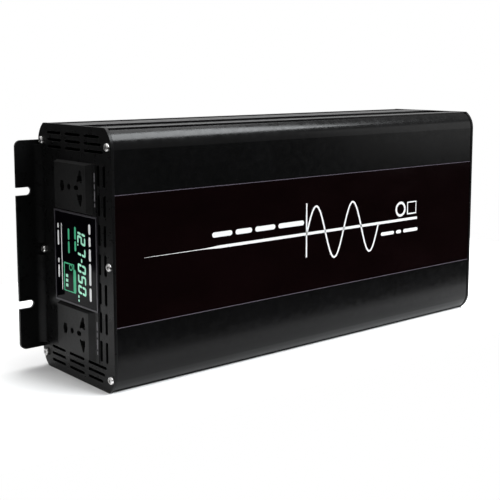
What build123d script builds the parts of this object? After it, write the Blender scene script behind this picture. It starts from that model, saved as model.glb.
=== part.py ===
from build123d import *
import os
from math import cos, pi, radians, sin, sqrt

# Power inverter, in millimetres. The unit stands on its long side, as it hangs on a wall:
#   X runs along the housing, with the AC end at -X and the DC end at +X,
#   Y runs from the labelled front face (-Y) to the mounting face (+Y),
#   Z runs up, across the width of the housing.
# The origin is the bottom centre of the box round the whole unit.

# ---------------------------------------------------------------- driving dimensions

# Housing
length = 422.0  # over the outer faces of the two end panels
depth = 110.0  # front face to mounting face, over the end panels
height = 200.0  # side to side, over the end panels
corner_drop = 16.0  # from a side to where the corner's arc leaves the front or the base
corner_radius = 19.0
wall = 2.5  # extruded shell
side_lip = 0.2  # the end panels stand this far beyond the ribs on the sides
face_lip = 0.5  # and this far beyond the front and the base
rib_height = 1.8
front_rib_start = 8.3
front_rib_width = 15.7
middle_rib_start = 54.0
middle_rib_width = 29.0
back_rib_width = 5.0
split_from_front = 50.0  # where the front shell meets the base shell
seam_gap = 0.2
tongue_reach = 3.0
tongue_thickness = 1.2
tongue_fit = 0.1

# Screws that hold the end panels, in ports that run along the shells
port_radius = 3.2
port_bore = 1.45
port_web = 3.0
front_screw_inset = 4.4
base_screw_inset = 6.3
corner_screw_spacing = 174.8
screw_line_drop = 1.3  # the corner screws are centred this far below the housing's middle
middle_screw_drop = 2.7
panel_screw_head = 3.1
panel_screw_length = 14.0
screw_fit = 0.1
head_height = 2.2
recess_depth = 1.2

# Label band on the front
label_width = 100.0
label_thickness = 0.5
label_raise = 1.0  # the band's middle above the housing's middle
label_fit = 0.1

# End panels: folded sheet with a mounting flange
panel_thickness = 2.5
flange_reach = 21.5
flange_width = 170.6
flange_raise = 0.9  # the flange's middle above the housing's middle
flange_corner = 5.0
bend_radius = 6.5
fold_end = 3.6  # square corner at each end of the bend
screw_pocket = 10.0  # square pocket between the bends, for the middle screw
slot_width = 6.5
slot_depth = 12.7
slot_spacing = 92.7
slot_line_drop = 1.2  # the slots are centred this far below the housing's middle

# Vents in the AC end panel
vent_height = 2.2
vent_edge = 7.2
vent_pitch = 5.6
vent_rows = 3
vent_step = 2.7  # each row towards the middle starts this much nearer the front
vent_columns = ((16.7, 38.0), (44.0, 66.7), (73.3, 94.6))
side_vent_length = 16.5
side_vent_width = 3.4
side_vent_pitch = 22.2
side_vent_count = 7
side_vent_insets = (10.4, 18.4)

# AC sockets and display, on a centre line a little below the housing's middle
ac_line_drop = 3.8
socket_offset = 56.7  # from that line to each socket's middle
socket_face = 31.2  # front edge of the raised face, from the front of the housing
socket_face_depth = 47.1
socket_face_width = 36.0
socket_raise = 3.5
socket_front_bevel = 5.0
socket_bevel = 1.5
socket_neck_inset = 2.5
socket_neck_fit = 0.2
socket_body_depth = 20.0
pin_depth = 18.0
live_pin_from_front = 39.8
live_pin_offset = 7.2
earth_pin_from_front = 66.4
middle_pin_from_front = 56.0
front_pin_from_front = 43.3
blade_slot = (6.6, 4.4)
earth_slot = (4.4, 8.2)
round_pin_radius = 2.4
front_slot = (6.4, 3.8)
contact_fit = 0.3
contact_length = 4.0
tail_length = 5.0
tail_section = (2.8, 1.0)
caption_plate_width = 5.0
caption_plate_thickness = 0.4

display_from_front = 52.6
display_size = (64.0, 73.0)
display_border = 1.3
bezel_thickness = 1.2
window_thickness = 0.9
window_fit = 0.1
display_opening = (56.0, 62.0)
lcd_size = (54.0, 46.0)
display_board_size = (66.0, 71.0)
display_spacer = 1.6
display_spacer_radius = 2.0

# Circuit boards
board_thickness = 1.6
standoff_height = 11.0
standoff_radius = 3.0
board_side_gap = 8.0
board_ac_gap = 28.0
board_dc_gap = 10.0

# Fans at the DC end
fan_size = 60.0
fan_depth = 25.0
fan_bore = 28.5
fan_from_front = 52.0
fan_inset = 44.0  # from each side of the housing to a fan's middle
fan_hole_spacing = 50.0
fan_hole = 2.2
fan_blades = 7
blade_gap = 1.0
hub_radius = 13.5
hub_wall = 2.0
fan_shaft = 1.5
shaft_fit = 0.05
guard_wire = 0.8
guard_rings = (8.0, 14.5, 21.0, 27.5)
lug_thickness = 1.2
fan_nut = 3.5
fan_nut_height = 3.0

# DC terminals, earth stud and power switch
terminal_from_front = 36.0
terminal_spacing = 30.0
stud_radius = 3.0
stud_tip = 19.0
bush_flange = 10.5
bush_barrel = 7.3
bush_thickness = 3.0
bush_fit = 0.2
lug_space = 3.0
washer_thickness = 1.4
knob_radius = 9.5
knob_length = 11.0
knob_flutes = 10
knob_fit = 0.05
stack_gap = 0.3
terminal_nut = 5.8
terminal_nut_height = 5.0
busbar = (2.0, 9.0)
busbar_switch_gap = 0.7

earth_from_front = 91.0
earth_stud_radius = 2.5
earth_stud_tip = 12.0
earth_nut = 4.6
earth_nut_height = 4.0

switch_from_front = 70.0
switch_bezel = (15.0, 21.0)
switch_body = (13.0, 19.6)
switch_wall = 1.2
switch_depth = 14.0
switch_bezel_thickness = 2.0
switch_fit = 0.1
pocket_depth = 6.0
rocker_fit = 0.3
rocker_half_length = 7.8
rocker_tilt = 10.0
pivot_radius = 1.2
pivot_fit = 0.05
pivot_reach = 0.6

# Power parts on the main board
transformer_pitch = 60.0
transformer_count = 3
core_size = (21.0, 55.0, 55.0)
core_leg = 9.0
winding_gap = 0.5
winding_bulge = 9.0
heat_sink_size = (284.0, 40.0, 6.0)
transistor_size = (16.0, 21.0, 5.0)
transistor_pitch = 22.0
transistor_leg = (1.2, 0.8)
input_can = (9.0, 36.0)
bus_can = (15.0, 45.0)
toroid = (14.0, 25.0, 20.0)
fuse_size = (19.0, 18.0, 5.0)

# ---------------------------------------------------------------- places worked out from them

ac_face = -length / 2
ac_inside = ac_face + panel_thickness
dc_face = length / 2
dc_inside = dc_face - panel_thickness
front = -depth / 2
base = depth / 2
shell_front = front + face_lip
cavity_front = shell_front + wall
cavity_base = base - face_lip - wall
side_floor = side_lip + rib_height
cavity_low = side_floor + wall
cavity_high = height - cavity_low
shell_span = (ac_inside, dc_inside)
middle = height / 2
ac_line = middle - ac_line_drop
split = front + split_from_front
bend = bend_radius + panel_thickness
board_back = cavity_base - standoff_height
board_face = board_back - board_thickness
sockets = {"upper": ac_line + socket_offset, "lower": ac_line - socket_offset}
fans = {"upper": height - fan_inset, "lower": fan_inset}
terminals = {
    "positive": middle + terminal_spacing / 2,
    "negative": middle - terminal_spacing / 2,
}
fan_y = front + fan_from_front
terminal_y = front + terminal_from_front
switch_y = front + switch_from_front
earth_y = front + earth_from_front


# ---------------------------------------------------------------- helpers


def around(centre, size):
    """The (low, high) pair of a size centred on a place."""
    return (centre - size / 2, centre + size / 2)


def grown(pair, margin):
    """A (low, high) pair with the margin added at both ends."""
    return (pair[0] - margin, pair[1] + margin)


def block(x, y, z):
    """A box between the (low, high) pairs x, y and z."""
    size = [pair[1] - pair[0] for pair in (x, y, z)]
    centre = [(pair[0] + pair[1]) / 2 for pair in (x, y, z)]
    return Pos(*centre) * Box(*size)


def rectangle(y, z):
    """A rectangle in (Y, Z) between the pairs y and z."""
    centre = Pos((y[0] + y[1]) / 2, (z[0] + z[1]) / 2)
    return centre * Rectangle(y[1] - y[0], z[1] - z[0])


def prism(sketch, x):
    """A (Y, Z) sketch carried along X between the pair x."""
    return extrude(Plane.YZ.offset(x[0]) * sketch, amount=x[1] - x[0])


def rod(radius, x, y, z):
    """A round bar along X between the pair x, with its axis at (y, z)."""
    return prism(Pos(y, z) * Circle(radius), x)


def hexagon(corner, x, y, z, bore):
    """A hexagonal nut along X, with a bore."""
    sketch = RegularPolygon(corner, 6) - Circle(bore)
    return prism(Pos(y, z) * sketch, x)


def group(solids):
    """Separate solids of one kind, kept in one node."""
    return Compound(children=[part for solid in solids for part in solid.solids()])


def pan_head_screw(seat, heading, y, z, head, shank, reach):
    """A screw whose head sits on the plane X = seat, with its shank running along -heading."""
    crown = seat + heading * head_height
    head_span = sorted((seat, crown))
    body = rod(head, head_span, y, z)
    rim = body.edges().filter_by(GeomType.CIRCLE).sort_by(Axis.X)[-1 if heading > 0 else 0]
    body = fillet(rim, head_height * 0.6)
    body += rod(shank, sorted((seat, seat - heading * reach)), y, z)
    recess = sorted((crown, crown - heading * recess_depth))
    for turn in (0, 90):
        slot = Pos(y, z) * Rot(0, 0, turn + 45) * Rectangle(head * 1.1, head * 0.28)
        body -= prism(slot, recess)
    return body


# ---------------------------------------------------------------- housing


def outline(face_inset, side_inset):
    """The housing's section in (Y, Z): a flat front and base, and concentric corner arcs
    that meet the flat sides at an angle. Both insets run inwards from the end panels' edge."""
    y = depth / 2 - face_inset
    radius = corner_radius - face_inset
    run = radius - sqrt(radius**2 - (corner_drop - side_inset) ** 2)
    edges = []
    for face in (-y, y):
        inward = run if face < 0 else -run
        edges.append(Line((face, corner_drop), (face, height - corner_drop)))
        low = ((face, corner_drop), (face + inward, side_inset))
        high = ((face, height - corner_drop), (face + inward, height - side_inset))
        edges.append(TangentArc(*low, tangent=(0, -1)))
        edges.append(TangentArc(*high, tangent=(0, 1)))
    for side in (side_inset, height - side_inset):
        edges.append(Line((run - y, side), (y - run, side)))
    return make_face(edges)


def screw_places():
    """(y, z) of the six screws of an end panel."""
    low, high = around(middle - screw_line_drop, corner_screw_spacing)
    heights = (low, middle - middle_screw_drop, high)
    return [(y, z) for y in (front + front_screw_inset, base - base_screw_inset) for z in heights]


def ribs():
    """(start, end) in Y of the ribs that run along both sides."""
    back_end = base - front_rib_start
    return (
        (front + front_rib_start, front + front_rib_start + front_rib_width),
        (front + middle_rib_start, front + middle_rib_start + middle_rib_width),
        (back_end - back_rib_width, back_end),
    )


def housing_section():
    """Both shells' wall, with ribs and screw ports, as one closed ring."""
    section = outline(face_lip, side_floor)
    for rib in ribs():
        section += rectangle(rib, (side_lip, side_floor))
        section += rectangle(rib, (height - side_floor, height - side_lip))
    section -= outline(face_lip + wall, cavity_low)
    for y, z in screw_places():
        wall_y = cavity_front - wall / 2 if y < 0 else cavity_base + wall / 2
        section += rectangle(sorted((wall_y, y)), around(z, port_web))
        section += Pos(y, z) * Circle(port_radius)
    for y, z in screw_places():
        section -= Pos(y, z) * Circle(port_bore)
    return section


def tongues(reach, extra):
    """The base shell's two tongues in (Y, Z), which lap inside the front shell's edges."""
    y = (split - reach, split + wall)
    low = rectangle(y, (cavity_low - tongue_thickness - extra, cavity_low + extra))
    high = rectangle(y, (cavity_high - extra, cavity_high + tongue_thickness + extra))
    return low + high


def shells():
    """The front shell, which carries the label band, and the base shell."""
    section = housing_section()
    front_half = section & rectangle((front, split), (0, height))
    front_half -= tongues(tongue_reach + tongue_fit, tongue_fit)
    front_half -= rectangle((front, shell_front + label_thickness), label_span())
    base_half = section & rectangle((split + seam_gap, base), (0, height))
    base_half += tongues(tongue_reach, 0) & outline(face_lip, side_floor)
    return prism(front_half, shell_span), prism(base_half, shell_span)


def label_span():
    """The label band's (low, high) in Z."""
    return around(middle + label_raise, label_width)


def label_strip():
    """The glossy strip, flush in the front shell's recess."""
    y = (shell_front, shell_front + label_thickness)
    return block(grown(shell_span, -label_fit), y, grown(label_span(), -label_fit))


def flanged_panel():
    """The AC end panel before its openings: a plate and a flange folded outwards at the base."""
    x = (ac_face, ac_inside)
    tip = ac_face - flange_reach
    crease = ac_face - bend_radius
    fold = base - bend
    skin = base - panel_thickness
    low, high = around(middle + flange_raise, flange_width)
    pocket = around(middle - middle_screw_drop, screw_pocket)
    inner_low, inner_high = low + fold_end, high - fold_end
    plate = prism(outline(0, 0), x)
    flange = block((tip, crease), (skin, base), (low, high))
    corners = flange.edges().filter_by(Axis.Y).group_by(Axis.X)[0]
    flange = fillet(corners, flange_corner)
    profile = make_face(
        [
            Line((ac_inside, fold), (ac_face, fold)),
            TangentArc((ac_face, fold), (crease, skin), tangent=(0, 1)),
            Line((crease, skin), (crease, base)),
            TangentArc((ac_inside, fold), (crease, base), tangent=(0, 1)),
        ]
    )
    for span in ((low, inner_low), pocket, (inner_high, high)):
        flange += block((crease, ac_face), (skin, base), span)
    for start, end in ((inner_low, pocket[0]), (pocket[1], inner_high)):
        plate -= block(x, (fold, base), (start, end))
        flange += extrude(Plane.XY.offset(start) * profile, amount=end - start)
    for z in around(middle - slot_line_drop, slot_spacing):
        end = tip + slot_depth - slot_width / 2
        flange -= block((tip, end), (skin, base), around(z, slot_width))
        flange -= Pos(end, base, z) * Rot(90, 0, 0) * Cylinder(slot_width / 2, 4 * panel_thickness)
    panel = plate + flange
    for y, z in screw_places():
        panel -= rod(port_bore + screw_fit, x, y, z)
    return panel


def vents():
    """All the slots of the AC end panel, as one (Y, Z) sketch."""
    slots = Sketch()
    for row in range(vent_rows):
        inset = vent_edge + vent_pitch * row
        for start, end in vent_columns:
            if start == vent_columns[0][0]:
                start -= vent_step * row
            for z in (inset, height - inset):
                place = Pos(front + (start + end) / 2, z)
                slots += place * SlotOverall(end - start, vent_height)
    line = middle - middle_screw_drop
    for inset in side_vent_insets:
        for index in range(side_vent_count):
            z = line + side_vent_pitch * (index - (side_vent_count - 1) / 2)
            place = Pos(front + inset, z) * Rot(0, 0, 90)
            slots += place * SlotOverall(side_vent_length, side_vent_width)
    return slots


def socket_neck(z):
    """(y, z) pairs of the socket's neck, which fills its opening in the panel."""
    y = (front + socket_face, front + socket_face + socket_face_depth)
    return grown(y, -socket_neck_inset), grown(around(z, socket_face_width), -socket_neck_inset)


def ac_end_panel():
    """The panel with the sockets, the display and the vents."""
    x = (ac_face, ac_inside)
    panel = flanged_panel() - prism(vents(), x)
    for z in sockets.values():
        y_neck, z_neck = socket_neck(z)
        panel -= block(x, grown(y_neck, socket_neck_fit), grown(z_neck, socket_neck_fit))
    y, z = display_frame(display_opening)
    return panel - block(x, y, z)


def dc_end_panel():
    """The same folded panel turned to the other end, with the DC fittings' openings."""
    x = (dc_inside, dc_face)
    panel = mirror(flanged_panel(), Plane.YZ)
    for z in fans.values():
        panel -= rod(fan_bore, x, fan_y, z)
        for y_hole, z_hole in fan_holes(z):
            panel -= rod(fan_hole, x, y_hole, z_hole)
    for z in terminals.values():
        panel -= rod(bush_barrel + bush_fit, x, terminal_y, z)
    panel -= rod(earth_stud_radius + screw_fit, x, earth_y, middle)
    y, z = switch_frame(switch_body)
    return panel - block(x, grown(y, switch_fit), grown(z, switch_fit))


def panel_screws():
    """The twelve screws of the two end panels."""
    screws = []
    for seat, heading in ((ac_face, -1), (dc_face, 1)):
        for y, z in screw_places():
            shank = port_bore - screw_fit
            size = (panel_screw_head, shank, panel_screw_length)
            screws.append(pan_head_screw(seat, heading, y, z, *size))
    return group(screws)


# ---------------------------------------------------------------- AC sockets


def live_slots():
    """The two openings for line and neutral pins, about the socket's middle: each takes
    flat, slanted and round pins."""
    y = front + live_pin_from_front
    shape = Sketch()
    for sign in (-1, 1):
        z = sign * live_pin_offset
        shape += rectangle(around(y, blade_slot[0]), around(z, blade_slot[1]))
        shape += Pos(y + 1.4, sign * 9.0) * Rot(0, 0, sign * 118) * SlotOverall(10.5, 2.4)
        shape += Pos(y - 1.4, sign * 9.0) * Rot(0, 0, sign * 80) * SlotOverall(10.0, 2.4)
    return shape


def earth_slots():
    """The openings along the socket's middle line: earth, round pin and front pin."""
    earth_y = front + earth_pin_from_front
    middle_y = front + middle_pin_from_front
    front_y = front + front_pin_from_front
    shape = rectangle(around(earth_y, earth_slot[0]), around(0, earth_slot[1]))
    shape += Pos(earth_y, 0) * Circle(earth_slot[0] * 0.75)
    shape += Pos(middle_y, 0) * Circle(round_pin_radius)
    shape += Pos(front_y + 2.0, 0) * SlotOverall(*front_slot)
    return shape


def contact_places():
    """(y, z offset) of the socket's three contacts."""
    live_y = front + live_pin_from_front
    offset = live_pin_offset
    return ((live_y, offset), (live_y, -offset), (front + earth_pin_from_front, 0.0))


def socket_housing(z):
    """A raised, bevelled face in front of the panel, a neck through it and a body behind."""
    face_y = (front + socket_face, front + socket_face + socket_face_depth)
    face_z = around(z, socket_face_width)
    foot_y = (face_y[0] - socket_front_bevel, face_y[1] + socket_bevel)
    foot = Plane.YZ.offset(ac_face) * rectangle(foot_y, grown(face_z, socket_bevel))
    top = Plane.YZ.offset(ac_face - socket_raise) * rectangle(face_y, face_z)
    neck_y, neck_z = socket_neck(z)
    back = ac_inside + socket_body_depth
    body = loft([top, foot]) + block((ac_face, back), neck_y, neck_z)
    mouth = ac_face - socket_raise
    openings = Pos(0, z) * (live_slots() + earth_slots())
    body -= prism(openings, (mouth, mouth + pin_depth))
    for y, offset in contact_places():
        tail = rectangle(around(y, tail_section[0]), around(z + offset, tail_section[1]))
        body -= prism(offset_sketch(tail), (mouth, back))
    return body


def offset_sketch(sketch):
    """A sketch grown by the contacts' clearance."""
    return offset(sketch, contact_fit, kind=Kind.INTERSECTION)


def socket_contacts(z):
    """Three brass contacts at the bottom of the pin openings, with tails out of the back."""
    bottom = ac_face - socket_raise + pin_depth
    back = ac_inside + socket_body_depth
    contacts = []
    for y, offset_z in contact_places():
        size = earth_slot if offset_z == 0 else blade_slot
        head_y = around(y, size[0] - 2 * contact_fit)
        head_z = around(z + offset_z, size[1] - 2 * contact_fit)
        contact = block((bottom - contact_length, bottom), head_y, head_z)
        tail_y = around(y, tail_section[0])
        tail_z = around(z + offset_z, tail_section[1])
        contacts.append(contact + block((bottom, back + tail_length), tail_y, tail_z))
    return group(contacts)


def caption_plate(z):
    """The thin plate beside a socket, on the panel's outer face."""
    end = front + socket_face - socket_front_bevel
    y = (end - caption_plate_width, end - label_fit)
    x = (ac_face - caption_plate_thickness, ac_face)
    return block(x, y, around(z, socket_face_width + 2 * socket_bevel))


# ---------------------------------------------------------------- display


def display_frame(size):
    """(y, z) pairs of a rectangle centred on the display."""
    return around(front + display_from_front, size[0]), around(ac_line, size[1])


def display_parts():
    """The bezel and window outside the panel, the display module, its board, spacers and screws."""
    y, z = display_frame(display_size)
    inner_y, inner_z = grown(y, -display_border), grown(z, -display_border)
    outside = (ac_face - bezel_thickness, ac_face)
    bezel = block(outside, y, z) - block(outside, inner_y, inner_z)
    window_x = (ac_face - window_thickness, ac_face)
    window = block(window_x, grown(inner_y, -window_fit), grown(inner_z, -window_fit))
    board_x = (ac_inside + display_spacer, ac_inside + display_spacer + board_thickness)
    lcd_y, lcd_z = display_frame(lcd_size)
    lcd = block((ac_face, board_x[0]), lcd_y, lcd_z)
    board_y, board_z = display_frame(display_board_size)
    board = block(board_x, board_y, board_z)
    inset = display_spacer_radius + 0.5
    corners = [(y, z) for y in grown(board_y, -inset) for z in grown(board_z, -inset)]
    spacers, screws = [], []
    bore = display_spacer_radius / 2
    for corner_y, corner_z in corners:
        ring = Circle(display_spacer_radius) - Circle(bore + screw_fit)
        spacers.append(prism(Pos(corner_y, corner_z) * ring, (ac_inside, board_x[0])))
        board -= rod(bore + screw_fit, board_x, corner_y, corner_z)
        size = (display_spacer_radius, bore, board_thickness + display_spacer)
        screws.append(pan_head_screw(board_x[1], 1, corner_y, corner_z, *size))
    return {
        "display_bezel": bezel,
        "display_window": window,
        "lcd_module": lcd,
        "display_board": board,
        "display_spacers": group(spacers),
        "display_screws": group(screws),
    }


# ---------------------------------------------------------------- fans


def fan_holes(z):
    """(y, z) of the four screw holes of the fan at height z."""
    return [
        (hole_y, hole_z)
        for hole_y in around(fan_y, fan_hole_spacing)
        for hole_z in around(z, fan_hole_spacing)
    ]


def fan_frame(z):
    """The square frame with its bore, and a hub plate on four struts that carries the bearing."""
    x = (dc_inside - fan_depth, dc_inside)
    plate_x = (x[0], x[0] + 3.0)
    square = RectangleRounded(fan_size, fan_size, 4.0)
    frame = prism(Pos(fan_y, z) * (square - Circle(fan_bore)), x)
    for hole_y, hole_z in fan_holes(z):
        frame -= rod(fan_hole, x, hole_y, hole_z)
    struts = Circle(hub_radius)
    for turn in (45, 135):
        struts += Rot(0, 0, turn) * Rectangle(2 * fan_bore + 1.0, 4.0)
    frame += prism(Pos(fan_y, z) * struts, plate_x)
    frame += rod(2.5 * fan_shaft, (x[0], x[1] - 8.0), fan_y, z)
    return frame - rod(fan_shaft + shaft_fit, x, fan_y, z)


def fan_rotor(z):
    """A cup-shaped hub with pitched blades, and the shaft that runs in the frame's bearing."""
    x = (dc_inside - fan_depth + 3.7, dc_inside - 2.5)
    hub = rod(hub_radius, x, 0, 0)
    rim = hub.edges().filter_by(GeomType.CIRCLE).sort_by(Axis.X)[-1]
    hub = fillet(rim, 1.5)
    hub -= rod(hub_radius - hub_wall, (x[0], x[1] - 3.0), 0, 0)
    hub += rod(fan_shaft, (x[0] - 3.0, x[1] - 1.0), 0, 0)
    reach = fan_bore - blade_gap
    span = (hub_radius - hub_wall / 2, reach + 2.0)
    chord = x[1] - x[0] - 2.0
    blade = Box(chord, 1.6, span[1] - span[0])
    blade = Pos((x[0] + x[1]) / 2, 0, (span[0] + span[1]) / 2) * Rot(0, 0, 32) * blade
    blade &= rod(reach, x, 0, 0)
    for index in range(fan_blades):
        hub += Rot(360 / fan_blades * index, 0, 0) * blade
    return Pos(0, fan_y, z) * hub


def fan_guard(z):
    """A wire guard: rings welded on a cross of wires that end in flat lugs under the screws."""
    ring_x = dc_face + lug_thickness + 2.6 * guard_wire
    cross_x = ring_x - 0.75 * guard_wire
    lug_x = (dc_face, dc_face + lug_thickness)
    reach = fan_hole_spacing / sqrt(2)
    start = guard_rings[0] - guard_wire / 2
    end = reach - fan_nut - 0.4
    rings, arms = Part(), Part()
    for radius in guard_rings:
        rings += Pos(ring_x, 0, 0) * Rot(0, 90, 0) * Torus(radius, guard_wire)
    for turn in range(4):
        wire = Pos(cross_x, 0, (start + end) / 2) * Cylinder(guard_wire, end - start)
        lug = rod(fan_nut, lug_x, 0, reach)
        lug += block((dc_face, cross_x), around(0, 3 * guard_wire), (end - 1.2, end))
        lug += block(lug_x, around(0, 3 * guard_wire), (end - 1.2, reach))
        lug -= rod(fan_hole, lug_x, 0, reach)
        arms += Rot(45 + 90 * turn, 0, 0) * (wire + lug)
    return Pos(0, fan_y, z) * (rings + arms)


def fan_fasteners():
    """The fans' screws, from the guards through panel and frames, and their nuts."""
    screws, nuts = [], []
    inner = dc_inside - fan_depth
    nut_x = (inner - fan_nut_height, inner)
    seat = dc_face + lug_thickness
    for z in fans.values():
        for hole_y, hole_z in fan_holes(z):
            shank = fan_hole - screw_fit
            reach = seat - nut_x[0] + 1.5
            size = (fan_nut, shank, reach)
            screws.append(pan_head_screw(seat, 1, hole_y, hole_z, *size))
            nuts.append(hexagon(fan_nut, nut_x, hole_y, hole_z, shank + screw_fit / 2))
    return group(screws), group(nuts)


# ---------------------------------------------------------------- DC terminals and earth


def terminal_bush(z):
    """The coloured insulating bush: a flange outside and a barrel through the panel."""
    flange = rod(bush_flange, (dc_face, dc_face + bush_thickness), terminal_y, z)
    rim = flange.edges().filter_by(GeomType.CIRCLE).sort_by(Axis.X)[-1]
    bush = fillet(rim, 0.8) + rod(bush_barrel, (dc_inside, dc_face), terminal_y, z)
    bore = stud_radius + bush_fit
    return bush - rod(bore, (dc_inside, dc_face + bush_thickness), terminal_y, z)


def terminal_stack():
    """Places along X, from the panel inwards, of the parts on a terminal's stud."""
    washer = (dc_inside - bush_thickness, dc_inside)
    nut = (washer[0] - terminal_nut_height, washer[0])
    bar = (nut[0] - busbar[0], nut[0])
    lock = (bar[0] - terminal_nut_height, bar[0])
    return {"washer": washer, "nut": nut, "bar": bar, "lock": lock, "end": lock[0] - 2.0}


def terminal_stud(z):
    """The threaded stud, shown plain."""
    tip = dc_face + stud_tip
    stud = rod(stud_radius, (terminal_stack()["end"], tip), terminal_y, z)
    rims = stud.edges().filter_by(GeomType.CIRCLE)
    return chamfer(rims, 0.8)


def terminal_knob(z):
    """The fluted thumb nut, free to turn on its stud."""
    start = dc_face + bush_thickness + lug_space + washer_thickness + stack_gap
    span = (start, start + knob_length)
    sketch = Circle(knob_radius)
    for index in range(knob_flutes):
        sketch -= Rot(0, 0, 360 / knob_flutes * index) * Pos(knob_radius + 0.8, 0) * Circle(1.8)
    knob = prism(Pos(terminal_y, z) * sketch, span)
    knob += rod(knob_radius - 2.2, (span[1], span[1] + 0.8), terminal_y, z)
    bore = stud_radius + knob_fit
    return knob - rod(bore, (span[0], span[1] + 0.8), terminal_y, z)


def terminal_hardware():
    """Plain washers, insulating washers and nuts on the studs, and the copper bars."""
    stack = terminal_stack()
    start = dc_face + bush_thickness + lug_space
    bore = stud_radius + screw_fit
    ring = Circle(stud_radius * 2) - Circle(bore)
    inner_ring = Circle(bush_flange) - Circle(bore)
    washers, insulators, nuts = [], [], []
    for z in terminals.values():
        place = Pos(terminal_y, z)
        washers.append(prism(place * ring, (start, start + washer_thickness)))
        insulators.append(prism(place * inner_ring, stack["washer"]))
        for key in ("nut", "lock"):
            nuts.append(hexagon(terminal_nut, stack[key], terminal_y, z, bore))
    return {
        "terminal_washers": group(washers),
        "terminal_insulators": group(insulators),
        "terminal_nuts": group(nuts),
    }


def busbar_strip(z):
    """A copper strip: a tab on a terminal's stud, and a run past the switch to the main board."""
    x = terminal_stack()["bar"]
    side = 1 if z > middle else -1
    inner = middle + side * (switch_body[1] / 2 + busbar_switch_gap)
    run_z = sorted((inner, inner + side * busbar[1]))
    strip = block(x, around(terminal_y, busbar[1]), around(z, busbar[1]))
    strip += block(x, (terminal_y - busbar[1] / 2, board_face), run_z)
    return strip - rod(stud_radius + screw_fit, x, terminal_y, z)


def earth_parts():
    """The earth stud, whose head is inside, and its nut and washer outside."""
    washer_x = (dc_face, dc_face + 1.0)
    nut_x = (washer_x[1], washer_x[1] + earth_nut_height)
    bore = earth_stud_radius + screw_fit
    stud = rod(earth_stud_radius, (dc_inside, dc_face + earth_stud_tip), earth_y, middle)
    head = hexagon(earth_nut, (dc_inside - earth_nut_height, dc_inside), earth_y, middle, 0.5)
    head += rod(1.0, (dc_inside - earth_nut_height, dc_inside), earth_y, middle)
    ring = Pos(earth_y, middle) * (Circle(earth_nut + 1.0) - Circle(bore))
    return {
        "earth_stud": stud + head,
        "earth_washer": prism(ring, washer_x),
        "earth_nut": hexagon(earth_nut, nut_x, earth_y, middle, bore),
    }


# ---------------------------------------------------------------- power switch


def switch_frame(size):
    """(y, z) pairs of a rectangle centred on the power switch."""
    return around(switch_y, size[0]), around(middle, size[1])


def rocker_axis():
    """X of the rocker's pivot."""
    return dc_face - 0.5


def switch_housing():
    """The switch's bezel and body, with a pocket and two bearings for the rocker."""
    bezel_y, bezel_z = switch_frame(switch_bezel)
    body_y, body_z = switch_frame(switch_body)
    rim = dc_face + switch_bezel_thickness
    housing = block((dc_face, rim), bezel_y, bezel_z)
    housing += block((dc_inside - switch_depth, dc_face), body_y, body_z)
    pocket_y, pocket_z = grown(body_y, -switch_wall), grown(body_z, -switch_wall)
    housing -= block((rim - switch_bezel_thickness - pocket_depth, rim), pocket_y, pocket_z)
    bearing = Pos(rocker_axis(), switch_y, middle) * Rot(90, 0, 0)
    half = (pocket_y[1] - pocket_y[0]) / 2 + pivot_reach + pivot_fit
    return housing - bearing * Cylinder(pivot_radius + pivot_fit, 2 * half)


def rocker():
    """The rocker with its two trunnions, tipped to the off side."""
    width = switch_body[0] - 2 * (switch_wall + rocker_fit)
    end = rocker_half_length
    # (x, z) from the pivot: flat underneath, dished on top
    section = Polyline((-1.6, -end), (-1.6, end), (3.8, end), (2.3, 0), (3.8, -end), close=True)
    solid = extrude(Plane.XZ * make_face(section), amount=width / 2, both=True)
    half = switch_body[0] / 2 - switch_wall + pivot_reach
    solid += Rot(90, 0, 0) * Cylinder(pivot_radius, 2 * half)
    return Pos(rocker_axis(), switch_y, middle) * Rot(0, rocker_tilt, 0) * solid


def switch_tabs():
    """The two spade tabs behind the switch."""
    back = dc_inside - switch_depth
    places = around(middle, 10.0)
    return group([block((back - 8.0, back), around(switch_y, 6.3), around(z, 0.8)) for z in places])


# ---------------------------------------------------------------- inside


def board_span():
    """(x, z) pairs of the main board."""
    x = (ac_inside + board_ac_gap, dc_inside - board_dc_gap)
    return x, grown((cavity_low, cavity_high), -board_side_gap)


def main_board_parts():
    """The main board on its standoffs, and the screws through both."""
    x, z = board_span()
    board = block(x, (board_face, board_back), z)
    inset = 2 * standoff_radius
    columns = (x[0] + inset, (x[0] + x[1]) / 2, x[1] - inset)
    standoffs, screws = [], []
    for column in columns:
        for row in grown(z, -3 * standoff_radius):
            centre = (board_back + cavity_base) / 2
            post = Pos(column, centre, row) * Rot(90, 0, 0)
            bore = standoff_radius / 2
            standoffs.append(
                post * (Cylinder(standoff_radius, standoff_height) - Cylinder(bore, standoff_height))
            )
            hole = Pos(column, board_face, row) * Rot(90, 0, 0)
            board -= hole * Cylinder(bore, 4 * board_thickness)
            shank = Cylinder(bore - screw_fit, 9.0)
            head = Pos(0, 0, 4.5 + head_height / 2) * Cylinder(2 * bore, head_height)
            screws.append(Pos(column, board_face + 4.5, row) * Rot(90, 0, 0) * (shank + head))
    return {
        "main_board": board,
        "board_standoffs": group(standoffs),
        "board_screws": group(screws),
    }


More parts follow.
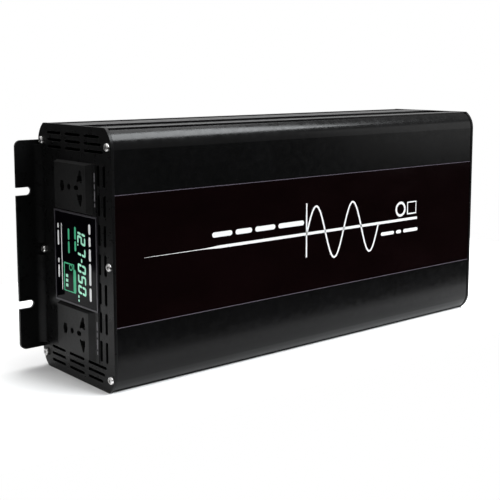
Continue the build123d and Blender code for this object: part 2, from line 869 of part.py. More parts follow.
def transformer(x):
    """A ferrite core standing on the board, and the winding round its middle leg."""
    thick, tall, wide = core_size
    y = around(board_face - tall / 2, tall)
    core = block(around(x, thick), y, around(middle, wide))
    inner_y = grown(y, -core_leg)
    window = (wide - 4 * core_leg) / 2
    for side in (-1, 1):
        z = middle + side * (core_leg + window / 2)
        core -= block(around(x, thick), inner_y, around(z, window))
    half = core_leg + window - winding_gap
    winding = block(
        around(x, thick + 2 * winding_bulge),
        grown(inner_y, -winding_gap),
        around(middle, 2 * half),
    )
    winding = fillet(winding.edges().filter_by(Axis.Y), 5.0)
    leg = (thick + 2 * winding_gap, 2 * core_leg + 2 * winding_gap)
    winding -= block(around(x, leg[0]), y, around(middle, leg[1]))
    return core, winding


def transformers():
    """The row of transformers along the board: their cores, and their windings."""
    places = [
        transformer_pitch * (index - (transformer_count - 1) / 2)
        for index in range(transformer_count)
    ]
    cores, windings = zip(*[transformer(x) for x in places])
    return group(cores), group(windings)


def heat_sink(side):
    """An aluminium bar against a side wall: side is -1 for the lower one and 1 for the upper."""
    long, tall, thick = heat_sink_size
    y = (board_face - 5.0 - tall, board_face - 5.0)
    z = (cavity_low, cavity_low + thick) if side < 0 else (cavity_high - thick, cavity_high)
    return block(around(0, long), y, z)


def transistors(side, count):
    """A row of power transistors on a heat sink's inner face, with legs down to the board."""
    wide, tall, thick = transistor_size
    inner = cavity_low + heat_sink_size[2] if side < 0 else cavity_high - heat_sink_size[2]
    z = sorted((inner, inner - side * thick))
    y = (board_face - 9.0 - tall, board_face - 9.0)
    leg_z = (z[0] + z[1]) / 2
    row = []
    for index in range(count):
        x = transistor_pitch * (index - (count - 1) / 2)
        body = block(around(x, wide), y, z)
        for leg in (-1, 0, 1):
            leg_x = around(x + leg * wide / 3, transistor_leg[0])
            body += block(leg_x, (y[1], board_face), around(leg_z, transistor_leg[1]))
        row.append(body)
    return group(row)


def cans(radius, tall, xs, zs):
    """Upright capacitors on the main board."""
    solids = []
    for x in xs:
        for z in zs:
            can = Cylinder(radius, tall)
            can = chamfer(can.edges().filter_by(GeomType.CIRCLE), 0.8)
            solids.append(Pos(x, board_face - tall / 2, z) * Rot(90, 0, 0) * can)
    return group(solids)


def toroid_parts(x, z):
    """The output choke: a ring core, and turns of flat wire round it."""
    inner, outer, tall = toroid
    wire, gap = 1.6, 0.4
    centre = Pos(x, board_face - tall / 2 - wire - 2 * gap, z) * Rot(90, 0, 0)
    core = centre * (Cylinder(outer, tall) - Cylinder(inner, tall))
    turn = Box(outer - inner + 2 * (gap + wire), 1.8, tall + 2 * (gap + wire))
    turn -= Box(outer - inner + 2 * gap, 1.8, tall + 2 * gap)
    turns = []
    for index in range(24):
        place = Rot(0, 0, 15 * index) * Pos((inner + outer) / 2, 0, 0)
        turns.append(centre * place * turn)
    return core, group(turns)


def fuses():
    """Four blade fuses between the input bars and the transistors."""
    x = board_span()[0][1] - 25.0
    y = (board_face - fuse_size[1], board_face)
    places = [middle + 14.0 * (index - 1.5) for index in range(4)]
    return group([block(around(x, fuse_size[0]), y, around(z, fuse_size[2])) for z in places])


def control_board():
    """The upright control board, plugged into the main board."""
    x = (-board_thickness * 30, board_thickness * 30)
    z = middle + core_size[2] / 2 + 14.0
    return block(x, (board_face - 40.0, board_face), around(z, board_thickness))


def lead(points, radius):
    """A round insulated wire along a route with rounded corners."""
    route = FilletPolyline(*points, radius=4.0)
    return sweep((route ^ 0) * Circle(radius), path=route)


def ac_leads():
    """The insulated wires from the main board to the sockets' contact tails."""
    start = ac_inside + socket_body_depth + tail_length
    leads = []
    for z in sockets.values():
        for index, (y, offset_z) in enumerate(contact_places()):
            end_x = board_span()[0][0] + 4.0 + 3.0 * index
            place_z = z + offset_z
            route = [(start, y, place_z), (end_x, y, place_z), (end_x, board_face, place_z)]
            leads.append(lead(route, 1.2))
    return group(leads)


def fan_leads():
    """The two thin wires from each fan's frame to the main board."""
    start = dc_inside - fan_depth
    leads = []
    for z in fans.values():
        for shift in (-2.0, 2.0):
            y = fan_y + fan_size / 2 - 3.0
            route = [(start, y, z + shift), (start - 9.0, y, z + shift)]
            route.append((start - 9.0, board_face, z + shift))
            leads.append(lead(route, 0.8))
    return group(leads)


# ---------------------------------------------------------------- the assembly

parts = {}
parts["front_shell"], parts["base_shell"] = shells()
parts["label_strip"] = label_strip()
parts["ac_end_panel"] = ac_end_panel()
parts["dc_end_panel"] = dc_end_panel()
parts["panel_screws"] = panel_screws()
for name, z in sockets.items():
    parts[f"socket_{name}"] = socket_housing(z)
parts["socket_contacts"] = group([socket_contacts(z) for z in sockets.values()])
parts["caption_plates"] = group([caption_plate(z) for z in sockets.values()])
parts.update(display_parts())
for name, z in fans.items():
    parts[f"fan_frame_{name}"] = fan_frame(z)
    parts[f"fan_rotor_{name}"] = fan_rotor(z)
    parts[f"fan_guard_{name}"] = fan_guard(z)
parts["fan_screws"], parts["fan_nuts"] = fan_fasteners()
for name, z in terminals.items():
    parts[f"terminal_bush_{name}"] = terminal_bush(z)
    parts[f"terminal_stud_{name}"] = terminal_stud(z)
    parts[f"terminal_knob_{name}"] = terminal_knob(z)
    parts[f"busbar_{name}"] = busbar_strip(z)
parts.update(terminal_hardware())
parts.update(earth_parts())
parts["switch_housing"] = switch_housing()
parts["switch_rocker"] = rocker()
parts["switch_tabs"] = switch_tabs()
parts.update(main_board_parts())
parts["transformer_cores"], parts["transformer_windings"] = transformers()
parts["heat_sink_lower"] = heat_sink(-1)
parts["heat_sink_upper"] = heat_sink(1)
parts["dc_transistors"] = transistors(-1, 12)
parts["ac_transistors"] = transistors(1, 8)
rows = [middle + 22.0 * (index - 1.5) for index in range(4)]
parts["input_capacitors"] = cans(*input_can, (98.0, 120.0, 142.0), rows)
parts["bus_capacitors"] = cans(*bus_can, (-108.0,), around(middle, 40.0))
parts["choke_core"], parts["choke_winding"] = toroid_parts(-152.0, middle - 4.0)
parts["fuses"] = fuses()
parts["control_board"] = control_board()
parts["ac_leads"] = ac_leads()
parts["fan_leads"] = fan_leads()

os.makedirs("parts", exist_ok=True)
for name, solid in parts.items():
    export_step(solid, f"parts/{name}.step")
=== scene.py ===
import math

import bmesh
import bpy
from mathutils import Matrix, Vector


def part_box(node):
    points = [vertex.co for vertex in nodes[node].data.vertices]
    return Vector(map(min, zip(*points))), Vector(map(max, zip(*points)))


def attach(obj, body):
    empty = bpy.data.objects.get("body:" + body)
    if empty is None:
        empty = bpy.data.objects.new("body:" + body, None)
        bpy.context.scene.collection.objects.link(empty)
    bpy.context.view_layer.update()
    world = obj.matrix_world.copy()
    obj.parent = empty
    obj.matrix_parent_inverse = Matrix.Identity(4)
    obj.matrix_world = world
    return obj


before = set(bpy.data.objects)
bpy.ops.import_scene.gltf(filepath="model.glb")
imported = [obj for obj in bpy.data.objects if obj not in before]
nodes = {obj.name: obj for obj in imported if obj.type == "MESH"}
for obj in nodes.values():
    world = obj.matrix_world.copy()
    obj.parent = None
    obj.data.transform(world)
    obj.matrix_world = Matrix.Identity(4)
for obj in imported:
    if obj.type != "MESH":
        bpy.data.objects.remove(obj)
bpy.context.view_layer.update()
MM = 0.001

# ------------------------------------------------------------------ places

ac_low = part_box("ac_end_panel")[0]
dc_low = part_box("dc_end_panel")[0]
label_low, label_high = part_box("label_strip")
window_low, window_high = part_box("display_window")

PANEL = 2.5 * MM  # the end panels' sheet
CAPTION_PLATE = 0.4 * MM
FRONT = ac_low[1]  # the end panels' front edge
AC_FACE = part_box("ac_end_panel")[1][0] - PANEL
DC_FACE = dc_low[0] + PANEL
LIFT = 0.03 * MM  # print stands this far off what it is on


# ------------------------------------------------------------------ node helpers


class Graph:
    """A material's node tree, with short calls for the nodes that the materials share."""

    def __init__(self, name):
        self.material = bpy.data.materials.new(name)
        self.material.use_nodes = True
        self.tree = self.material.node_tree
        self.shader = self.tree.nodes["Principled BSDF"]
        self.place = self.add("ShaderNodeTexCoord").outputs["Object"]

    def add(self, kind, **settings):
        node = self.tree.nodes.new(kind)
        for key, value in settings.items():
            setattr(node, key, value)
        return node

    def put(self, socket, value):
        if isinstance(value, bpy.types.NodeSocket):
            self.tree.links.new(value, socket)
        else:
            socket.default_value = value

    def set(self, **values):
        for key, value in values.items():
            name = key.replace("_", " ")
            if isinstance(value, tuple) and len(value) == 3:
                value = (*value, 1.0)
            self.put(self.shader.inputs[name], value)

    def stretched(self, scale):
        node = self.add("ShaderNodeVectorMath", operation="MULTIPLY")
        self.put(node.inputs[0], self.place)
        node.inputs[1].default_value = scale
        return node.outputs[0]

    def noise(self, size_mm, detail=3.0, rough=0.5, stretch=None):
        node = self.add("ShaderNodeTexNoise")
        self.put(node.inputs["Vector"], self.stretched(stretch) if stretch else self.place)
        node.inputs["Scale"].default_value = 1000.0 / size_mm
        node.inputs["Detail"].default_value = detail
        node.inputs["Roughness"].default_value = rough
        return node.outputs["Fac"]

    def cells(self, size_mm, feature="F1"):
        node = self.add("ShaderNodeTexVoronoi", feature=feature)
        self.put(node.inputs["Vector"], self.place)
        node.inputs["Scale"].default_value = 1000.0 / size_mm
        return node.outputs["Distance"]

    def spread(self, value, low, high, start=0.3, end=0.7):
        """value, taken from start..end to low..high."""
        node = self.add("ShaderNodeMapRange")
        self.put(node.inputs["Value"], value)
        for key, number in (("From Min", start), ("From Max", end), ("To Min", low), ("To Max", high)):
            node.inputs[key].default_value = number
        return node.outputs["Result"]

    def mix(self, factor, first, second):
        node = self.add("ShaderNodeMix", data_type="RGBA")
        self.put(node.inputs["Factor"], factor)
        for socket, colour in ((node.inputs["A"], first), (node.inputs["B"], second)):
            self.put(socket, (*colour, 1.0) if isinstance(colour, tuple) else colour)
        return node.outputs["Result"]

    def maths(self, operation, first, second=0.0):
        node = self.add("ShaderNodeMath", operation=operation)
        self.put(node.inputs[0], first)
        self.put(node.inputs[1], second)
        return node.outputs[0]

    def edges(self, radius_mm):
        """(normal rounded at the edges, 0..1 on the edges themselves)."""
        bevel = self.add("ShaderNodeBevel", samples=6)
        bevel.inputs["Radius"].default_value = radius_mm * MM
        geometry = self.add("ShaderNodeNewGeometry")
        dot = self.add("ShaderNodeVectorMath", operation="DOT_PRODUCT")
        self.put(dot.inputs[0], bevel.outputs[0])
        self.put(dot.inputs[1], geometry.outputs["Normal"])
        return bevel.outputs[0], self.spread(dot.outputs["Value"], 1.0, 0.0, 0.8, 0.98)

    def bump(self, *layers, normal=None):
        """Layers are (height, depth in mm), finest last."""
        for height, depth in layers:
            node = self.add("ShaderNodeBump")
            node.inputs["Distance"].default_value = depth * MM
            self.put(node.inputs["Height"], height)
            if normal is not None:
                self.put(node.inputs["Normal"], normal)
            normal = node.outputs[0]
        self.put(self.shader.inputs["Normal"], normal)


def powder_coat(name, tone, gloss=0.36, level=0.3):
    """Black powder coat: orange peel, faint mottling, dust, and a painted highlight along the edges."""
    g = Graph(name)
    normal, edge = g.edges(0.35)
    cloud = g.noise(45.0, 4.0, 0.6)
    grain = g.noise(0.9, 2.0, 0.5)
    colour = g.mix(g.spread(cloud, 0.0, 1.0), (tone * 0.8,) * 3, (tone * 1.2, tone * 1.2, tone * 1.25))
    dust = g.spread(g.noise(0.7, 1.0, 0.5), 0.0, 0.25, 0.72, 0.82)
    colour = g.mix(dust, colour, (tone * 2.0,) * 3)
    # Painted highlight: the colour lightens along the edges, where rounded edges would catch the light.
    colour = g.mix(g.maths("MULTIPLY", edge, 0.35), colour, (tone * 4.0,) * 3)
    g.set(Base_Color=colour, Specular_IOR_Level=level)
    g.set(Roughness=g.spread(g.noise(6.0, 3.0, 0.6), gloss - 0.05, gloss + 0.06))
    g.bump((g.noise(1.6, 2.0, 0.5), 0.006), (grain, 0.005), normal=normal)
    return g.material


def moulded(name, colour, gloss=0.42, level=0.4):
    """Moulded plastic with a fine spark-eroded texture and faint flow marks."""
    g = Graph(name)
    normal, edge = g.edges(0.3)
    flow = g.noise(14.0, 3.0, 0.6, (1.0, 0.35, 1.0))
    dark = tuple(c * 0.82 for c in colour)
    light = tuple(min(1.0, c * 1.25 + 0.004) for c in colour)
    shade = g.mix(g.spread(flow, 0.0, 1.0), dark, light)
    # Painted highlight: the colour lightens along the edges, where rounded edges would catch the light.
    shade = g.mix(g.maths("MULTIPLY", edge, 0.3), shade, tuple(min(1.0, c * 2.0 + 0.02) for c in colour))
    g.set(Base_Color=shade, Specular_IOR_Level=level)
    g.set(Roughness=g.spread(g.noise(2.5, 3.0, 0.6), gloss - 0.05, gloss + 0.07))
    g.bump((g.cells(0.35), 0.012), (g.noise(0.25, 2.0, 0.6), 0.008), normal=normal)
    return g.material


def metal(name, colour, gloss, streak=(1.0, 1.0, 1.0), stain=None):
    """Plain metal with fine tool marks, uneven brightness and a little tarnish."""
    g = Graph(name)
    normal, edge = g.edges(0.15)
    marks = g.noise(0.5, 3.0, 0.6, streak)
    patches = g.noise(3.0, 4.0, 0.6)
    dull = stain or tuple(c * 0.72 for c in colour)
    shade = g.mix(g.spread(patches, 0.0, 1.0), colour, dull)
    # Painted highlight: the colour lightens along the edges, where rounded edges would catch the light.
    shade = g.mix(g.maths("MULTIPLY", edge, 0.5), shade, tuple(min(1.0, c * 1.3) for c in colour))
    g.set(Base_Color=shade, Metallic=1.0)
    g.set(Roughness=g.spread(patches, gloss, gloss + 0.14))
    g.bump((marks, 0.01), normal=normal)
    return g.material


def film(name, colour, gloss, level, tint=None):
    """Glossy film or window: almost flat, with smears, dust and hairline scratches."""
    g = Graph(name)
    smear = g.noise(30.0, 4.0, 0.65, (0.4, 1.0, 1.0))
    dust = g.spread(g.cells(2.2), 0.5, 0.0, 0.0, 0.06)
    shade = g.mix(g.spread(smear, 0.0, 1.0), colour, tint or tuple(c * 1.5 for c in colour))
    shade = g.mix(dust, shade, (0.05, 0.05, 0.05))
    g.set(Base_Color=shade, Specular_IOR_Level=level)
    g.set(Roughness=g.spread(smear, gloss, gloss + 0.08))
    g.bump((g.noise(18.0, 2.0, 0.5), 0.02), (g.noise(0.8, 2.0, 0.5, (0.06, 1.0, 1.0)), 0.002))
    return g.material


def ink(name, colour, wear=0.15):
    """Screen print: opaque and slightly broken up at a fine scale."""
    g = Graph(name)
    thin = g.spread(g.noise(0.5, 3.0, 0.6), 0.0, 1.0, 0.35, 0.6)
    shade = g.mix(thin, tuple(c * (1.0 - wear) for c in colour), colour)
    g.set(Base_Color=shade, Specular_IOR_Level=0.2)
    g.set(Roughness=g.spread(g.noise(1.5), 0.45, 0.6))
    g.bump((g.noise(0.3, 2.0, 0.5), 0.004))
    return g.material


def glow(name, colour, strength):
    """A lit display segment, a little uneven like the light behind it."""
    g = Graph(name)
    uneven = g.noise(9.0, 2.0, 0.5)
    shade = g.mix(g.spread(uneven, 0.0, 1.0), tuple(c * 0.75 for c in colour), colour)
    g.set(Base_Color=tuple(c * 0.2 for c in colour), Roughness=0.3, Specular_IOR_Level=0.2)
    g.set(Emission_Color=shade, Emission_Strength=strength)
    return g.material


def circuit_board(name):
    """Solder mask over copper: darker between the tracks, with pads."""
    g = Graph(name)
    brick = g.add("ShaderNodeTexBrick")
    g.put(brick.inputs["Vector"], g.stretched((1.0, 1.0, 1.0)))
    brick.inputs["Scale"].default_value = 90.0
    brick.inputs["Mortar Size"].default_value = 0.06
    tracks = g.spread(g.noise(9.0, 1.0, 0.2), 0.0, 1.0, 0.48, 0.5)
    shade = g.mix(tracks, (0.008, 0.07, 0.03), (0.015, 0.12, 0.05))
    pads = g.spread(g.cells(4.0), 1.0, 0.0, 0.10, 0.14)
    shade = g.mix(pads, shade, (0.6, 0.6, 0.58))
    g.set(Base_Color=shade, Roughness=g.spread(g.noise(3.0), 0.3, 0.45))
    g.bump((tracks, 0.03), (pads, 0.05))
    return g.material


def wound(name, colour, pitch_mm):
    """Layers of wire or tape: close parallel ridges."""
    g = Graph(name)
    wave = g.add("ShaderNodeTexWave", wave_type="BANDS", bands_direction="Y")
    g.put(wave.inputs["Vector"], g.place)
    wave.inputs["Scale"].default_value = 314.0 / pitch_mm
    wave.inputs["Distortion"].default_value = 0.3
    # Painted shade: the colour darkens in the grooves between the ridges, where the bump is lowest.
    shade = g.mix(wave.outputs["Fac"], tuple(c * 0.45 for c in colour), colour)
    g.set(Base_Color=shade, Roughness=0.35)
    g.bump((wave.outputs["Fac"], 0.25))
    return g.material


def ceramic(name):
    """Sintered ferrite: dark, dry and finely pitted."""
    g = Graph(name)
    normal, edge = g.edges(0.5)
    shade = g.mix(g.spread(g.noise(2.0, 4.0, 0.7), 0.0, 1.0), (0.022, 0.022, 0.024), (0.05, 0.05, 0.055))
    # Painted highlight: the colour lightens along the edges, where rounded edges would catch the light.
    g.set(Base_Color=g.mix(edge, shade, (0.1, 0.1, 0.1)), Roughness=0.7)
    g.bump((g.noise(0.4, 3.0, 0.7), 0.05), normal=normal)
    return g.material


# ------------------------------------------------------------------ materials

coat = powder_coat("powder_coat", 0.0024, gloss=0.19, level=0.14)
coat_panel = powder_coat("powder_coat_panel", 0.0036, gloss=0.3, level=0.1)
label_film = film("label_film", (0.0020, 0.0007, 0.0008), 0.08, 0.08)
window_glass = film("window_glass", (0.0008, 0.0006, 0.0012), 0.06, 0.03)
bezel_plastic = moulded("bezel_plastic", (0.03, 0.028, 0.034), 0.35)
black_plastic = moulded("black_plastic", (0.006, 0.006, 0.006), 0.4, 0.13)
fan_plastic = moulded("fan_plastic", (0.011, 0.011, 0.012), 0.38)
red_plastic = moulded("red_plastic", (0.42, 0.012, 0.008), 0.36, 0.5)
zinc = metal("zinc_plate", (0.68, 0.67, 0.66), 0.22)
wire_chrome = metal("guard_wire", (0.75, 0.75, 0.76), 0.14)
brass = metal("brass", (0.78, 0.57, 0.27), 0.25, stain=(0.45, 0.3, 0.12))
copper = metal("copper", (0.82, 0.42, 0.26), 0.28, stain=(0.45, 0.2, 0.12))
aluminium = metal("aluminium", (0.78, 0.79, 0.8), 0.3, (0.05, 1.0, 1.0))
board_green = circuit_board("circuit_board")
lcd_dark = film("lcd_dark", (0.004, 0.006, 0.006), 0.12, 0.4)
ferrite = ceramic("ferrite")
tape = wound("winding_tape", (0.7, 0.52, 0.06), 6.0)
epoxy = moulded("epoxy", (0.02, 0.02, 0.021), 0.5)
sleeve = film("can_sleeve", (0.008, 0.014, 0.05), 0.25, 0.5)
fuse_plastic = moulded("fuse_plastic", (0.75, 0.2, 0.02), 0.2, 0.5)
lead_plastic = moulded("lead_insulation", (0.02, 0.02, 0.02), 0.45)
white_ink = ink("white_ink", (0.82, 0.82, 0.82))
grey_ink = ink("grey_ink", (0.13, 0.125, 0.135))
# The light lines along the label's top and bottom edges, made with the print material.
label_edge_tone = ink("label_edge_tone", (0.10, 0.085, 0.11))
lit_green = glow("lit_green", (0.06, 0.42, 0.22), 0.8)
lit_pale = glow("lit_pale", (0.34, 0.72, 0.54), 0.9)

by_node = {
    "front_shell": coat,
    "base_shell": coat,
    "ac_end_panel": coat_panel,
    "dc_end_panel": coat_panel,
    "label_strip": label_film,
    "display_window": window_glass,
    "display_bezel": bezel_plastic,
    "caption_plates": coat_panel,
    "panel_screws": zinc,
    "fan_screws": zinc,
    "fan_nuts": zinc,
    "fan_guard_upper": wire_chrome,
    "fan_guard_lower": wire_chrome,
    "display_screws": zinc,
    "board_screws": zinc,
    "board_standoffs": brass,
    "socket_contacts": brass,
    "switch_tabs": brass,
    "earth_stud": brass,
    "earth_nut": brass,
    "earth_washer": brass,
    "socket_upper": black_plastic,
    "socket_lower": black_plastic,
    "fan_frame_upper": fan_plastic,
    "fan_frame_lower": fan_plastic,
    "fan_rotor_upper": fan_plastic,
    "fan_rotor_lower": fan_plastic,
    "switch_housing": black_plastic,
    "switch_rocker": black_plastic,
    "terminal_knob_negative": black_plastic,
    "terminal_bush_negative": black_plastic,
    "terminal_knob_positive": red_plastic,
    "terminal_bush_positive": red_plastic,
    "terminal_insulators": black_plastic,
    "terminal_stud_positive": brass,
    "terminal_stud_negative": brass,
    "terminal_washers": zinc,
    "terminal_nuts": zinc,
    "busbar_positive": copper,
    "busbar_negative": copper,
    "main_board": board_green,
    "display_board": board_green,
    "control_board": board_green,
    "lcd_module": lcd_dark,
    "display_spacers": black_plastic,
    "transformer_cores": ferrite,
    "choke_core": ferrite,
    "transformer_windings": tape,
    "choke_winding": copper,
    "heat_sink_lower": aluminium,
    "heat_sink_upper": aluminium,
    "dc_transistors": epoxy,
    "ac_transistors": epoxy,
    "input_capacitors": sleeve,
    "bus_capacitors": sleeve,
    "fuses": fuse_plastic,
    "ac_leads": lead_plastic,
    "fan_leads": lead_plastic,
}
for name, material in by_node.items():
    mesh = nodes[name].data
    mesh.materials.clear()
    mesh.materials.append(material)


# ------------------------------------------------------------------ print


def piece(name, mesh, material, body):
    """A new object in the scene, riding on a body."""
    obj = bpy.data.objects.new(name, mesh)
    bpy.context.collection.objects.link(obj)
    mesh.materials.append(material)
    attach(obj, body)
    return obj


def flat_piece(name, loops, place, material, body="housing"):
    """Flat faces from 2-D loops, each taken to 3-D by place(u, v). Lengths are in mm."""
    mesh = bpy.data.meshes.new(name)
    build = bmesh.new()
    for loop in loops:
        build.faces.new([build.verts.new(place(u, v)) for u, v in loop])
    bmesh.ops.triangulate(build, faces=build.faces[:])
    build.to_mesh(mesh)
    build.free()
    return piece(name, mesh, material, body)


def bar(u, v, wide, tall, round_ends=True):
    """A bar with rounded ends, from its lower left corner."""
    radius = min(wide, tall) / 2 if round_ends else 0.0
    if radius == 0.0:
        return [(u, v), (u + wide, v), (u + wide, v + tall), (u, v + tall)]
    centres = ((u + wide - radius, v + radius, -90), (u + wide - radius, v + tall - radius, 0),
               (u + radius, v + tall - radius, 90), (u + radius, v + radius, 180))
    loop = []
    for cu, cv, start in centres:
        for step in range(7):
            angle = math.radians(start + 15 * step)
            loop.append((cu + radius * math.cos(angle), cv + radius * math.sin(angle)))
    return loop


def stroke(points, width):
    """Quads along a 2-D polyline; width is a number or one for each point."""
    widths = [width] * len(points) if isinstance(width, (int, float)) else width
    sides = []
    for index, (u, v) in enumerate(points):
        before = points[max(index - 1, 0)]
        after = points[min(index + 1, len(points) - 1)]
        run = Vector((after[0] - before[0], after[1] - before[1])).normalized()
        offset = Vector((-run.y, run.x)) * widths[index] / 2
        sides.append(((u + offset.x, v + offset.y), (u - offset.x, v - offset.y)))
    return [[a[0], a[1], b[1], b[0]] for a, b in zip(sides, sides[1:])]


def ring(u, v, radius, width, steps=36, start=0, sweep=360):
    points = []
    for step in range(steps + 1):
        angle = math.radians(start + sweep * step / steps)
        points.append((u + radius * math.cos(angle), v + radius * math.sin(angle)))
    return stroke(points, width)


def words(lengths, u, v, tall, gap):
    """A row of plain bars in place of words."""
    loops = []
    for length in lengths:
        loops.append(bar(u, v, length, tall))
        u += length + gap
    return loops


def on_front(u, v):
    """u from the AC panel's outer face, v up from the bottom edges, on the label."""
    return (AC_FACE + u * MM, label_low[1] - LIFT, v * MM)


BASE_LINE = 101.6
LINE_START = 28
LINE_LENGTH = 312
LINE_WIDTH = 2.4


def taper(u):
    """The line's share of its full width: a faint tail that swells to full past the words' start."""
    tail = 0.10 + 0.12 * max(0.0, (u - LINE_START) / 60)
    swell = max(0.0, (u - 78) / 24) ** 2
    return min(1.0, tail + swell)


line = [(LINE_START + LINE_LENGTH * t / 60, BASE_LINE) for t in range(61)]
front_loops = stroke(line, [LINE_WIDTH * taper(point[0]) for point in line])
front_loops += stroke([(195.2, 81.0), (195.2, 128.2)], 1.5)
wave = []
for step in range(97):
    t = step / 96
    wave.append((195.2 + 90.4 * t, 100.9 + 23.7 * math.sin(4 * math.pi * t)))
front_loops += stroke(wave, 1.7)
front_loops += words((20.5, 17.5, 22.0, 29.5), 92.5, 109.6, 4.2, 3.4)
front_loops += words((18.0, 7.0, 20.5), 289.5, 89.2, 3.2, 3.0)
front_loops += ring(316.2, 111.9, 6.0, 2.2)
front_loops += stroke([(326.0, 106.5), (326.0, 117.5), (338.0, 117.5), (338.0, 106.5), (326.0, 106.5)], 1.4)
flat_piece("front_print", front_loops, on_front, white_ink)

# Light lines along the label's top and bottom edges.
length = (label_high[0] - label_low[0]) / MM
edge_loops = []
for z in (label_low[2] / MM, label_high[2] / MM - 0.45):
    edge_loops.append(bar(2.6, z, length, 0.45, False))
flat_piece("label_edge_lines", edge_loops, on_front, label_edge_tone)


def on_window(u, v):
    """The display reads downwards: u is the way down from the window's top edge, v the way
    from its edge nearest the mounting face towards the front."""
    return (window_low[0] - LIFT, window_high[1] - v * MM, window_high[2] - u * MM)


SEGMENTS = {
    "0": "abcdef", "1": "bc", "2": "abged", "5": "afgcd", "7": "abc", "-": "g",
}


def digit(symbol, u, v, wide, tall, thick, lean=0.12):
    """Seven-segment bars of one digit, leaning like the module's."""
    half = tall / 2
    inset = thick * 0.12
    places = {
        "a": (0, tall - thick, wide, "flat"),
        "d": (0, 0, wide, "flat"),
        "g": (0, half - thick / 2, wide, "flat"),
        "f": (0, half, half, "up"),
        "b": (wide - thick, half, half, "up"),
        "e": (0, 0, half, "up"),
        "c": (wide - thick, 0, half, "up"),
    }
    loops = []
    for key in SEGMENTS[symbol]:
        du, dv, run, way = places[key]
        cut = thick / 2
        if way == "flat":
            near, far = du + inset, du + run - inset
            shape = [(near, dv + cut), (near + cut, dv), (far - cut, dv),
                     (far, dv + cut), (far - cut, dv + thick), (near + cut, dv + thick)]
        else:
            near, far = dv + inset, dv + run - inset
            shape = [(du + cut, near), (du + thick, near + cut), (du + thick, far - cut),
                     (du + cut, far), (du, far - cut), (du, near + cut)]
        loops.append([(u + a + lean * b, v + b) for a, b in shape])
    return loops


digits = []
for symbol, u, wide in (("1", 8.0, 6.4), ("2", 15.0, 6.8), ("7", 23.8, 6.8), ("-", 32.2, 4.0),
                        ("0", 37.2, 6.8), ("5", 45.6, 6.8), ("0", 54.0, 6.8)):
    digits += digit(symbol, u, 33.8, wide, 12.0, 1.9)
digits.append(bar(22.2, 33.8, 1.5, 1.5))
flat_piece("display_digits", digits, on_window, lit_pale)

greens = words((10.0, 8.0), 9.5, 29.3, 2.6, 1.2)
greens += words((9.0, 9.5), 12.0, 19.4, 2.4, 1.2)
greens += stroke([(40.0, 12.6), (62.0, 12.6), (62.0, 27.4), (40.0, 27.4), (40.0, 12.6)], 1.3)
greens += [bar(43.5, 26.6, 19.0, 4.0)]
greens += ring(42.6, 23.0, 2.2, 1.0)
flat_piece("display_marks", greens, on_window, lit_green)
cells = [bar(u, 15.0, 2.4, 3.4, False) for u in (48.8, 52.6, 56.4)]
cells += words((2.4, 2.0), 62.5, 33.4, 2.0, 1.0)
flat_piece("display_cells", cells, on_window, lit_pale)

whites = words((8.0, 7.5, 9.5, 17.0, 10.5), 5.0, 50.6, 3.0, 1.8)
whites += [bar(9.0, 8.9, 53.5, 1.1)]
whites += words((4.0, 12.0), 9.5, 3.2, 2.1, 1.6)
whites += words((4.0, 10.0), 37.5, 3.2, 2.1, 1.6)
flat_piece("display_print", whites, on_window, white_ink)

captions = []
for node in ("socket_upper", "socket_lower"):
    low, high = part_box(node)
    middle = (low[2] + high[2]) / 2 / MM
    captions += words((7.0, 4.0, 8.0, 3.0), -middle - 13.0, 31.9, 1.5, 1.3)


def on_caption(u, v):
    """u down, v from the front face, on the caption plates."""
    return (AC_FACE - CAPTION_PLATE - LIFT, FRONT + (56.0 - v) * MM, -u * MM)


flat_piece("caption_print", captions, on_caption, grey_ink)


def centre_of(node):
    """A node's middle in (Y, Z), in mm."""
    low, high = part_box(node)
    return (low[1] + high[1]) / 2 / MM, (low[2] + high[2]) / 2 / MM


def on_dc(u, v):
    """u along Y and v up, on the DC panel's outer face."""
    return (DC_FACE + LIFT, u * MM, v * MM)


MARK = 5.0  # size of the polarity marks
MARK_GAP = 15.0  # from a terminal's or the earth stud's middle to its mark
symbols = []
for pole in ("positive", "negative"):
    y, z = centre_of("terminal_bush_" + pole)
    symbols += stroke([(y + MARK_GAP - MARK / 2, z), (y + MARK_GAP + MARK / 2, z)], 1.2)
    if pole == "positive":
        for side in (-1, 1):
            symbols += stroke([(y + MARK_GAP, z + side * 0.6), (y + MARK_GAP, z + side * MARK / 2)], 1.2)
y, z = centre_of("earth_nut")
z += 12.0
symbols += stroke([(y, z + 3.2), (y, z + 0.4)], 0.8)
for step in range(3):
    half = 3.0 - step
    symbols += stroke([(y - half, z - 1.5 * step), (y + half, z - 1.5 * step)], 0.8)
flat_piece("dc_marks", symbols, on_dc, white_ink)

# ------------------------------------------------------------------ the stage

bpy.ops.mesh.primitive_plane_add(size=1.0, location=(0.05, 0.11, 0))
floor = bpy.context.object
floor.name = "floor"
floor.scale = (1.0, 0.48, 1.0)
g = Graph("floor_paper")
clouds = g.spread(g.noise(120.0), 0.0, 1.0)
g.set(Base_Color=g.mix(clouds, (0.80, 0.80, 0.80), (0.82, 0.82, 0.82)), Roughness=0.9)
floor.data.materials.append(g.material)

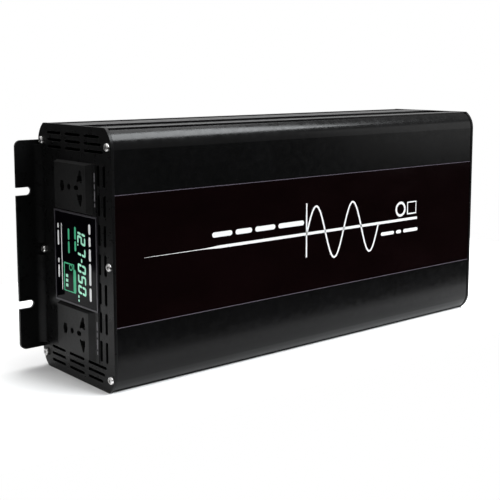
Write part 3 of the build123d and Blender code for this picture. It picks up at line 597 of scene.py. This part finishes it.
world = bpy.data.worlds.new("studio")
bpy.context.scene.world = world
world.use_nodes = True
tree = world.node_tree
background = tree.nodes["Background"]
direction = tree.nodes.new("ShaderNodeTexCoord")
split = tree.nodes.new("ShaderNodeSeparateXYZ")
rise = tree.nodes.new("ShaderNodeMapRange")
white = tree.nodes.new("ShaderNodeBackground")
mix = tree.nodes.new("ShaderNodeMixShader")
path = tree.nodes.new("ShaderNodeLightPath")
for key, number in (("From Min", -0.04), ("From Max", 0.02), ("To Min", 0.02), ("To Max", 0.42)):
    rise.inputs[key].default_value = number
tree.links.new(direction.outputs["Generated"], split.inputs[0])
tree.links.new(split.outputs["Z"], rise.inputs["Value"])
tree.links.new(rise.outputs["Result"], background.inputs["Strength"])
background.inputs["Color"].default_value = (1, 1, 1, 1)
white.inputs["Color"].default_value = (1, 1, 1, 1)
white.inputs["Strength"].default_value = 1.0
tree.links.new(path.outputs["Is Camera Ray"], mix.inputs[0])
tree.links.new(background.outputs[0], mix.inputs[1])
tree.links.new(white.outputs[0], mix.inputs[2])
tree.links.new(mix.outputs[0], tree.nodes["World Output"].inputs["Surface"])


def softbox(name, place, target, size, power):
    light = bpy.data.lights.new(name, "AREA")
    light.shape = "RECTANGLE"
    light.size, light.size_y = size
    light.energy = power
    obj = bpy.data.objects.new(name, light)
    bpy.context.collection.objects.link(obj)
    obj.location = place
    aim = Vector(target) - Vector(place)
    obj.rotation_euler = aim.to_track_quat("-Z", "Y").to_euler()
    return obj


overhead = bpy.data.lights.new("overhead", "SUN")
overhead.energy = 3.0
overhead.angle = math.radians(60)
overhead_object = bpy.data.objects.new("overhead", overhead)
bpy.context.collection.objects.link(overhead_object)
overhead_object.rotation_euler = (math.radians(-12), math.radians(14), 0)
strip = softbox("strip", (0.50, -0.84, 1.22), (-0.12, -0.05, 0.19), (1.15, 0.6), 41.0)
strip.data.color = (0.95, 0.98, 1.0)
softbox("right", (1.65, -1.15, 0.45), (0.2, -0.05, 0.1), (0.7, 0.9), 2.2)
softbox("side", (-1.6, 0.35, 0.9), (-0.2, 0, 0.1), (0.8, 0.8), 4.0)
bpy.context.scene.view_settings.view_transform = "Standard"

# ------------------------------------------------------------------ the camera

camera_data = bpy.data.cameras.new("camera")
camera = bpy.data.objects.new("camera", camera_data)
bpy.context.collection.objects.link(camera)
bpy.context.scene.camera = camera
camera_data.sensor_width = 36.0
camera_data.lens = 70.3
camera_data.shift_y = -0.1154
camera_data.clip_start = 0.01
camera.location = (-0.58658, -0.65842, 0.24272)
view_line = Vector((0.63803, 0.75970, -0.12560))
camera.rotation_euler = view_line.to_track_quat("-Z", "Y").to_euler()
